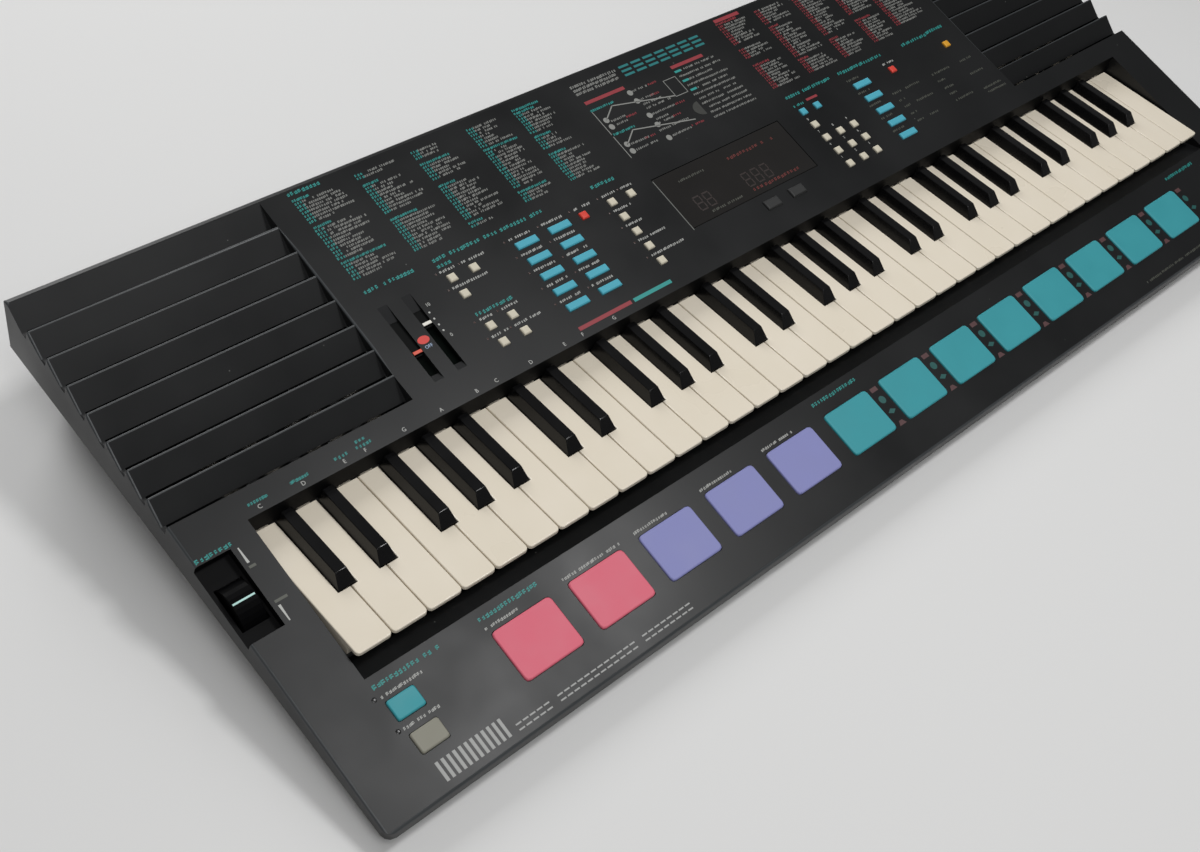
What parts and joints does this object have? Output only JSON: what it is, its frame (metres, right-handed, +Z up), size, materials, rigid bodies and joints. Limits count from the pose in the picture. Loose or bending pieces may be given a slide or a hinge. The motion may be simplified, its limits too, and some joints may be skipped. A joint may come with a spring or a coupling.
{
  "type": "portable keyboard",
  "caption": "Table-top electronic keyboard with small keys, coloured drum pads, panel buttons, slide controls, pitch wheel, display window and louvred speaker grilles.",
  "frame": {"origin": "on the table under the middle of the case", "axes": "+X the player's right, +Y the rear, +Z up"},
  "size_m": [0.768, 0.2888, 0.0775],
  "materials": {
    "charcoal_case": "fine satin moulded charcoal",
    "dark_underside": "matt black moulding",
    "cream_key": "smooth cream-white",
    "gloss_black_key": "glossy black",
    "pink_rubber": "matt rubber",
    "purple_rubber": "matt rubber",
    "teal_rubber": "matt rubber",
    "cream_button": "matt rubber",
    "smoked_window": "smoked clear plastic",
    "circuit_board": "dark lacquered board",
    "frame_plastic": "plain grey moulding",
    "speaker_cone": "black paper cone"
  },
  "bodies": {
    "case": {"upper_case": "charcoal_case", "lower_case": "dark_underside", "key_frame": "frame_plastic", "key_contact_board": "circuit_board", "panel_circuit_board": "circuit_board", "left_speaker": "speaker_cone", "right_speaker": "speaker_cone", "display_window": "smoked_window"},
    "battery_door": {"battery_door": "dark_underside"},
    "white_key_c1": {"white_key_c1": "cream_key"},
    "white_key_d1": {"white_key_d1": "cream_key"},
    "white_key_e1": {"white_key_e1": "cream_key"},
    "white_key_f1": {"white_key_f1": "cream_key"},
    "white_key_g1": {"white_key_g1": "cream_key"},
    "white_key_a1": {"white_key_a1": "cream_key"},
    "white_key_b1": {"white_key_b1": "cream_key"},
    "white_key_c2": {"white_key_c2": "cream_key"},
    "white_key_d2": {"white_key_d2": "cream_key"},
    "white_key_e2": {"white_key_e2": "cream_key"},
    "white_key_f2": {"white_key_f2": "cream_key"},
    "white_key_g2": {"white_key_g2": "cream_key"},
    "white_key_a2": {"white_key_a2": "cream_key"},
    "white_key_b2": {"white_key_b2": "cream_key"},
    "white_key_c3": {"white_key_c3": "cream_key"},
    "white_key_d3": {"white_key_d3": "cream_key"},
    "white_key_e3": {"white_key_e3": "cream_key"},
    "white_key_f3": {"white_key_f3": "cream_key"},
    "white_key_g3": {"white_key_g3": "cream_key"},
    "white_key_a3": {"white_key_a3": "cream_key"},
    "white_key_b3": {"white_key_b3": "cream_key"},
    "white_key_c4": {"white_key_c4": "cream_key"},
    "white_key_d4": {"white_key_d4": "cream_key"},
    "white_key_e4": {"white_key_e4": "cream_key"},
    "white_key_f4": {"white_key_f4": "cream_key"},
    "white_key_g4": {"white_key_g4": "cream_key"},
    "white_key_a4": {"white_key_a4": "cream_key"},
    "white_key_b4": {"white_key_b4": "cream_key"},
    "white_key_c5": {"white_key_c5": "cream_key"},
    "white_key_d5": {"white_key_d5": "cream_key"},
    "white_key_e5": {"white_key_e5": "cream_key"},
    "white_key_f5": {"white_key_f5": "cream_key"},
    "white_key_g5": {"white_key_g5": "cream_key"},
    "white_key_a5": {"white_key_a5": "cream_key"},
    "white_key_b5": {"white_key_b5": "cream_key"},
    "white_key_c6": {"white_key_c6": "cream_key"},
    "black_keys_octave1": {"black_keys_octave1": "gloss_black_key"},
    "black_keys_octave2": {"black_keys_octave2": "gloss_black_key"},
    "black_keys_octave3": {"black_keys_octave3": "gloss_black_key"},
    "black_keys_octave4": {"black_keys_octave4": "gloss_black_key"},
    "black_keys_octave5": {"black_keys_octave5": "gloss_black_key"},
    "start_pads": {"start_pads": "pink_rubber"},
    "fill_in_pads": {"fill_in_pads": "purple_rubber"},
    "percussion_pads": {"percussion_pads": "teal_rubber"},
    "drummer_buttons": {"drummer_buttons": "teal_rubber"},
    "song_memory_buttons": {"song_memory_buttons": "teal_rubber"},
    "left_function_buttons": {"left_function_buttons": "cream_button"},
    "right_function_buttons": {"right_function_buttons": "cream_button"},
    "power_slider": {"power_slider": "charcoal_case"},
    "volume_slider": {"volume_slider": "charcoal_case"},
    "pitch_bend_wheel": {"pitch_bend_wheel": "gloss_black_key"}
  },
  "joints": [
    {"name": "battery_door_hinge", "type": "hinge", "parent": "case", "child": "battery_door", "pos_m": [0, 0.04875, 0.0027], "axis": [-1, 0, 0], "range_deg": [0, 85]},
    {"name": "white_key_c1_pivot", "type": "hinge", "parent": "case", "child": "white_key_c1", "pos_m": [-0.34125, 0.03405, 0.029], "axis": [1, 0, 0], "range_deg": [0, 2.2], "stiffness_Nm_per_rad": 1, "springref_deg": -2.29},
    {"name": "white_key_d1_pivot", "type": "hinge", "parent": "case", "child": "white_key_d1", "pos_m": [-0.32175, 0.03405, 0.029], "axis": [1, 0, 0], "range_deg": [0, 2.2], "stiffness_Nm_per_rad": 1, "springref_deg": -2.29},
    {"name": "white_key_e1_pivot", "type": "hinge", "parent": "case", "child": "white_key_e1", "pos_m": [-0.30225, 0.03405, 0.029], "axis": [1, 0, 0], "range_deg": [0, 2.2], "stiffness_Nm_per_rad": 1, "springref_deg": -2.29},
    {"name": "white_key_f1_pivot", "type": "hinge", "parent": "case", "child": "white_key_f1", "pos_m": [-0.28275, 0.03405, 0.029], "axis": [1, 0, 0], "range_deg": [0, 2.2], "stiffness_Nm_per_rad": 1, "springref_deg": -2.29},
    {"name": "white_key_g1_pivot", "type": "hinge", "parent": "case", "child": "white_key_g1", "pos_m": [-0.26325, 0.03405, 0.029], "axis": [1, 0, 0], "range_deg": [0, 2.2], "stiffness_Nm_per_rad": 1, "springref_deg": -2.29},
    {"name": "white_key_a1_pivot", "type": "hinge", "parent": "case", "child": "white_key_a1", "pos_m": [-0.24375, 0.03405, 0.029], "axis": [1, 0, 0], "range_deg": [0, 2.2], "stiffness_Nm_per_rad": 1, "springref_deg": -2.29},
    {"name": "white_key_b1_pivot", "type": "hinge", "parent": "case", "child": "white_key_b1", "pos_m": [-0.22425, 0.03405, 0.029], "axis": [1, 0, 0], "range_deg": [0, 2.2], "stiffness_Nm_per_rad": 1, "springref_deg": -2.29},
    {"name": "white_key_c2_pivot", "type": "hinge", "parent": "case", "child": "white_key_c2", "pos_m": [-0.20475, 0.03405, 0.029], "axis": [1, 0, 0], "range_deg": [0, 2.2], "stiffness_Nm_per_rad": 1, "springref_deg": -2.29},
    {"name": "white_key_d2_pivot", "type": "hinge", "parent": "case", "child": "white_key_d2", "pos_m": [-0.18525, 0.03405, 0.029], "axis": [1, 0, 0], "range_deg": [0, 2.2], "stiffness_Nm_per_rad": 1, "springref_deg": -2.29},
    {"name": "white_key_e2_pivot", "type": "hinge", "parent": "case", "child": "white_key_e2", "pos_m": [-0.16575, 0.03405, 0.029], "axis": [1, 0, 0], "range_deg": [0, 2.2], "stiffness_Nm_per_rad": 1, "springref_deg": -2.29},
    {"name": "white_key_f2_pivot", "type": "hinge", "parent": "case", "child": "white_key_f2", "pos_m": [-0.14625, 0.03405, 0.029], "axis": [1, 0, 0], "range_deg": [0, 2.2], "stiffness_Nm_per_rad": 1, "springref_deg": -2.29},
    {"name": "white_key_g2_pivot", "type": "hinge", "parent": "case", "child": "white_key_g2", "pos_m": [-0.12675, 0.03405, 0.029], "axis": [1, 0, 0], "range_deg": [0, 2.2], "stiffness_Nm_per_rad": 1, "springref_deg": -2.29},
    {"name": "white_key_a2_pivot", "type": "hinge", "parent": "case", "child": "white_key_a2", "pos_m": [-0.10725, 0.03405, 0.029], "axis": [1, 0, 0], "range_deg": [0, 2.2], "stiffness_Nm_per_rad": 1, "springref_deg": -2.29},
    {"name": "white_key_b2_pivot", "type": "hinge", "parent": "case", "child": "white_key_b2", "pos_m": [-0.08775, 0.03405, 0.029], "axis": [1, 0, 0], "range_deg": [0, 2.2], "stiffness_Nm_per_rad": 1, "springref_deg": -2.29},
    {"name": "white_key_c3_pivot", "type": "hinge", "parent": "case", "child": "white_key_c3", "pos_m": [-0.06825, 0.03405, 0.029], "axis": [1, 0, 0], "range_deg": [0, 2.2], "stiffness_Nm_per_rad": 1, "springref_deg": -2.29},
    {"name": "white_key_d3_pivot", "type": "hinge", "parent": "case", "child": "white_key_d3", "pos_m": [-0.04875, 0.03405, 0.029], "axis": [1, 0, 0], "range_deg": [0, 2.2], "stiffness_Nm_per_rad": 1, "springref_deg": -2.29},
    {"name": "white_key_e3_pivot", "type": "hinge", "parent": "case", "child": "white_key_e3", "pos_m": [-0.02925, 0.03405, 0.029], "axis": [1, 0, 0], "range_deg": [0, 2.2], "stiffness_Nm_per_rad": 1, "springref_deg": -2.29},
    {"name": "white_key_f3_pivot", "type": "hinge", "parent": "case", "child": "white_key_f3", "pos_m": [-0.00975, 0.03405, 0.029], "axis": [1, 0, 0], "range_deg": [0, 2.2], "stiffness_Nm_per_rad": 1, "springref_deg": -2.29},
    {"name": "white_key_g3_pivot", "type": "hinge", "parent": "case", "child": "white_key_g3", "pos_m": [0.00975, 0.03405, 0.029], "axis": [1, 0, 0], "range_deg": [0, 2.2], "stiffness_Nm_per_rad": 1, "springref_deg": -2.29},
    {"name": "white_key_a3_pivot", "type": "hinge", "parent": "case", "child": "white_key_a3", "pos_m": [0.02925, 0.03405, 0.029], "axis": [1, 0, 0], "range_deg": [0, 2.2], "stiffness_Nm_per_rad": 1, "springref_deg": -2.29},
    {"name": "white_key_b3_pivot", "type": "hinge", "parent": "case", "child": "white_key_b3", "pos_m": [0.04875, 0.03405, 0.029], "axis": [1, 0, 0], "range_deg": [0, 2.2], "stiffness_Nm_per_rad": 1, "springref_deg": -2.29},
    {"name": "white_key_c4_pivot", "type": "hinge", "parent": "case", "child": "white_key_c4", "pos_m": [0.06825, 0.03405, 0.029], "axis": [1, 0, 0], "range_deg": [0, 2.2], "stiffness_Nm_per_rad": 1, "springref_deg": -2.29},
    {"name": "white_key_d4_pivot", "type": "hinge", "parent": "case", "child": "white_key_d4", "pos_m": [0.08775, 0.03405, 0.029], "axis": [1, 0, 0], "range_deg": [0, 2.2], "stiffness_Nm_per_rad": 1, "springref_deg": -2.29},
    {"name": "white_key_e4_pivot", "type": "hinge", "parent": "case", "child": "white_key_e4", "pos_m": [0.10725, 0.03405, 0.029], "axis": [1, 0, 0], "range_deg": [0, 2.2], "stiffness_Nm_per_rad": 1, "springref_deg": -2.29},
    {"name": "white_key_f4_pivot", "type": "hinge", "parent": "case", "child": "white_key_f4", "pos_m": [0.12675, 0.03405, 0.029], "axis": [1, 0, 0], "range_deg": [0, 2.2], "stiffness_Nm_per_rad": 1, "springref_deg": -2.29},
    {"name": "white_key_g4_pivot", "type": "hinge", "parent": "case", "child": "white_key_g4", "pos_m": [0.14625, 0.03405, 0.029], "axis": [1, 0, 0], "range_deg": [0, 2.2], "stiffness_Nm_per_rad": 1, "springref_deg": -2.29},
    {"name": "white_key_a4_pivot", "type": "hinge", "parent": "case", "child": "white_key_a4", "pos_m": [0.16575, 0.03405, 0.029], "axis": [1, 0, 0], "range_deg": [0, 2.2], "stiffness_Nm_per_rad": 1, "springref_deg": -2.29},
    {"name": "white_key_b4_pivot", "type": "hinge", "parent": "case", "child": "white_key_b4", "pos_m": [0.18525, 0.03405, 0.029], "axis": [1, 0, 0], "range_deg": [0, 2.2], "stiffness_Nm_per_rad": 1, "springref_deg": -2.29},
    {"name": "white_key_c5_pivot", "type": "hinge", "parent": "case", "child": "white_key_c5", "pos_m": [0.20475, 0.03405, 0.029], "axis": [1, 0, 0], "range_deg": [0, 2.2], "stiffness_Nm_per_rad": 1, "springref_deg": -2.29},
    {"name": "white_key_d5_pivot", "type": "hinge", "parent": "case", "child": "white_key_d5", "pos_m": [0.22425, 0.03405, 0.029], "axis": [1, 0, 0], "range_deg": [0, 2.2], "stiffness_Nm_per_rad": 1, "springref_deg": -2.29},
    {"name": "white_key_e5_pivot", "type": "hinge", "parent": "case", "child": "white_key_e5", "pos_m": [0.24375, 0.03405, 0.029], "axis": [1, 0, 0], "range_deg": [0, 2.2], "stiffness_Nm_per_rad": 1, "springref_deg": -2.29},
    {"name": "white_key_f5_pivot", "type": "hinge", "parent": "case", "child": "white_key_f5", "pos_m": [0.26325, 0.03405, 0.029], "axis": [1, 0, 0], "range_deg": [0, 2.2], "stiffness_Nm_per_rad": 1, "springref_deg": -2.29},
    {"name": "white_key_g5_pivot", "type": "hinge", "parent": "case", "child": "white_key_g5", "pos_m": [0.28275, 0.03405, 0.029], "axis": [1, 0, 0], "range_deg": [0, 2.2], "stiffness_Nm_per_rad": 1, "springref_deg": -2.29},
    {"name": "white_key_a5_pivot", "type": "hinge", "parent": "case", "child": "white_key_a5", "pos_m": [0.30225, 0.03405, 0.029], "axis": [1, 0, 0], "range_deg": [0, 2.2], "stiffness_Nm_per_rad": 1, "springref_deg": -2.29},
    {"name": "white_key_b5_pivot", "type": "hinge", "parent": "case", "child": "white_key_b5", "pos_m": [0.32175, 0.03405, 0.029], "axis": [1, 0, 0], "range_deg": [0, 2.2], "stiffness_Nm_per_rad": 1, "springref_deg": -2.29},
    {"name": "white_key_c6_pivot", "type": "hinge", "parent": "case", "child": "white_key_c6", "pos_m": [0.34125, 0.03405, 0.029], "axis": [1, 0, 0], "range_deg": [0, 2.2], "stiffness_Nm_per_rad": 1, "springref_deg": -2.29},
    {"name": "black_keys_octave1_pivot", "type": "hinge", "parent": "case", "child": "black_keys_octave1", "pos_m": [-0.28275, 0.03405, 0.029], "axis": [1, 0, 0], "range_deg": [0, 2.2], "stiffness_Nm_per_rad": 1.6, "springref_deg": -2.29},
    {"name": "black_keys_octave2_pivot", "type": "hinge", "parent": "case", "child": "black_keys_octave2", "pos_m": [-0.14625, 0.03405, 0.029], "axis": [1, 0, 0], "range_deg": [0, 2.2], "stiffness_Nm_per_rad": 1.6, "springref_deg": -2.29},
    {"name": "black_keys_octave3_pivot", "type": "hinge", "parent": "case", "child": "black_keys_octave3", "pos_m": [-0.00975, 0.03405, 0.029], "axis": [1, 0, 0], "range_deg": [0, 2.2], "stiffness_Nm_per_rad": 1.6, "springref_deg": -2.29},
    {"name": "black_keys_octave4_pivot", "type": "hinge", "parent": "case", "child": "black_keys_octave4", "pos_m": [0.12675, 0.03405, 0.029], "axis": [1, 0, 0], "range_deg": [0, 2.2], "stiffness_Nm_per_rad": 1.6, "springref_deg": -2.29},
    {"name": "black_keys_octave5_pivot", "type": "hinge", "parent": "case", "child": "black_keys_octave5", "pos_m": [0.26325, 0.03405, 0.029], "axis": [1, 0, 0], "range_deg": [0, 2.2], "stiffness_Nm_per_rad": 1.6, "springref_deg": -2.29},
    {"name": "start_pads_press", "type": "slide", "parent": "case", "child": "start_pads", "axis": [0, 0.2198, -0.9755], "range_m": [0, 0.0008], "stiffness_N_per_m": 600, "springref_m": -0.0016},
    {"name": "fill_in_pads_press", "type": "slide", "parent": "case", "child": "fill_in_pads", "axis": [0, 0.2198, -0.9755], "range_m": [0, 0.0008], "stiffness_N_per_m": 600, "springref_m": -0.0016},
    {"name": "percussion_pads_press", "type": "slide", "parent": "case", "child": "percussion_pads", "axis": [0, 0.2198, -0.9755], "range_m": [0, 0.0008], "stiffness_N_per_m": 600, "springref_m": -0.0016},
    {"name": "drummer_buttons_press", "type": "slide", "parent": "case", "child": "drummer_buttons", "axis": [0, 0.2198, -0.9755], "range_m": [0, 0.0008], "stiffness_N_per_m": 600, "springref_m": -0.0016},
    {"name": "song_memory_buttons_press", "type": "slide", "parent": "case", "child": "song_memory_buttons", "axis": [0, 0.2198, -0.9755], "range_m": [0, 0.0008], "stiffness_N_per_m": 600, "springref_m": -0.0016},
    {"name": "left_function_buttons_press", "type": "slide", "parent": "case", "child": "left_function_buttons", "axis": [0, 0.2198, -0.9755], "range_m": [0, 0.0008], "stiffness_N_per_m": 600, "springref_m": -0.0016},
    {"name": "right_function_buttons_press", "type": "slide", "parent": "case", "child": "right_function_buttons", "axis": [0, 0.2198, -0.9755], "range_m": [0, 0.0008], "stiffness_N_per_m": 600, "springref_m": -0.0016},
    {"name": "power_slide", "type": "slide", "parent": "case", "child": "power_slider", "axis": [0, 0.9755, 0.2198], "range_m": [-0.0108, 0.0188]},
    {"name": "volume_slide", "type": "slide", "parent": "case", "child": "volume_slider", "axis": [0, 0.9755, 0.2198], "range_m": [-0.0222, 0.0072]},
    {"name": "pitch_bend_hinge", "type": "hinge", "parent": "case", "child": "pitch_bend_wheel", "pos_m": [-0.375, -0.02728, 0.02738], "axis": [1, 0, 0], "range_deg": [-25, 25], "stiffness_Nm_per_rad": 0.02}
  ]
}
